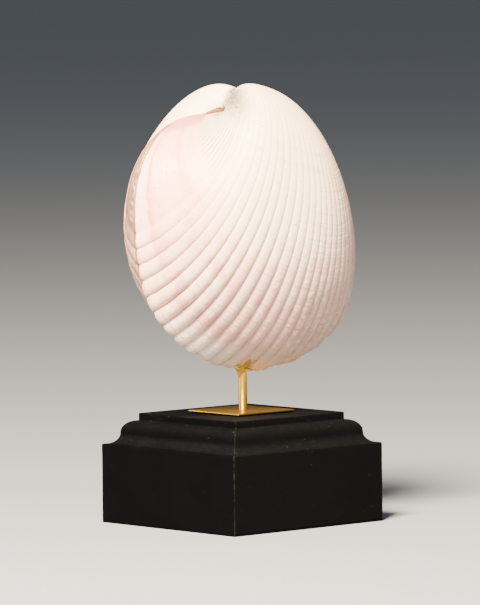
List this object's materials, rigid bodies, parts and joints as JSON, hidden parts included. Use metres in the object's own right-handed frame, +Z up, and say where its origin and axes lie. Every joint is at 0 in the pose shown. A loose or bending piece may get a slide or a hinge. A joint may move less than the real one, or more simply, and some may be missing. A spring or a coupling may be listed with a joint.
{
  "type": "cockle shell on a stand",
  "caption": "Paired ribbed heart cockle shell standing upright on a brass rod with a square brass plate over a moulded black wooden plinth.",
  "frame": {"origin": "middle of the plinth's flat underside", "axes": "+Z up through the brass rod; +X square to the plane in which the valves meet, on the right valve's side; -Y towards the shell's rear edge"},
  "size_m": [0.096, 0.1207, 0.1984],
  "materials": {
    "shell": "chalky cream white shell, pale pink in the furrows and on the rear slope",
    "ligament": "dry brown ligament",
    "glue": "glossy amber glue",
    "brass": "lightly tarnished brass",
    "black_wood": "matt black paint with worn edges"
  },
  "bodies": {
    "root": {"right_valve": "shell", "left_valve": "shell", "ligament": "ligament", "glue_bead": "glue", "brass_rod": "brass", "brass_plate": "brass", "plinth": "black_wood"}
  },
  "joints": []
}
